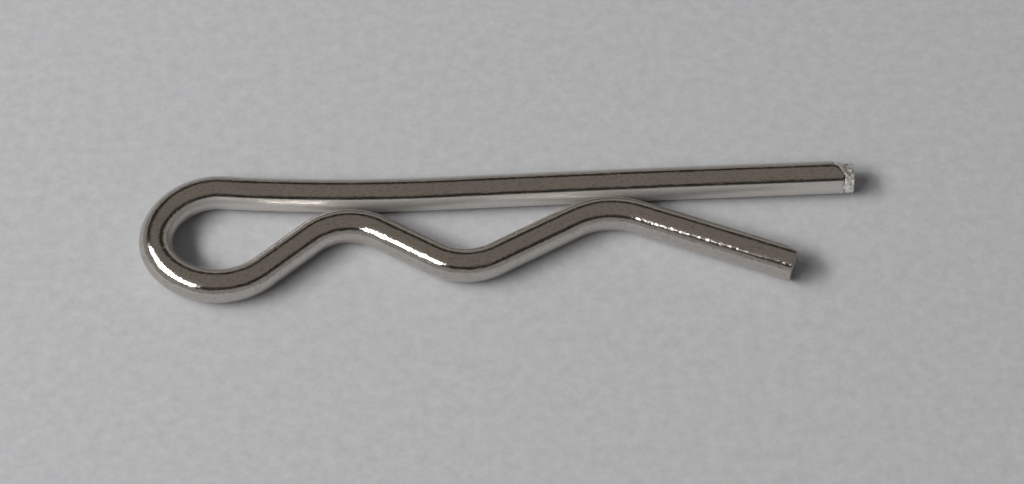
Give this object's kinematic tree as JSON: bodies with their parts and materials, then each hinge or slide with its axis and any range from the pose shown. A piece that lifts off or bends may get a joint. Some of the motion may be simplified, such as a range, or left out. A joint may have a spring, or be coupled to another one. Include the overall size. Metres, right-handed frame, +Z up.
{
  "type": "spring cotter pin",
  "caption": "Bright steel R-clip cotter pin of round wire, with a finger eye, a straight leg and a wavy leg.",
  "frame": {"origin": "centre of the bounding box on the surface that the clip lies on", "axes": "+X from the eye towards the free ends, +Y from the wavy leg towards the straight leg, +Z up off the surface, square to the wire's plane"},
  "size_m": [0.0426, 0.009, 0.002],
  "materials": {
    "wire": "satin"
  },
  "bodies": {
    "root": {"cotter_pin": "wire"}
  },
  "joints": []
}
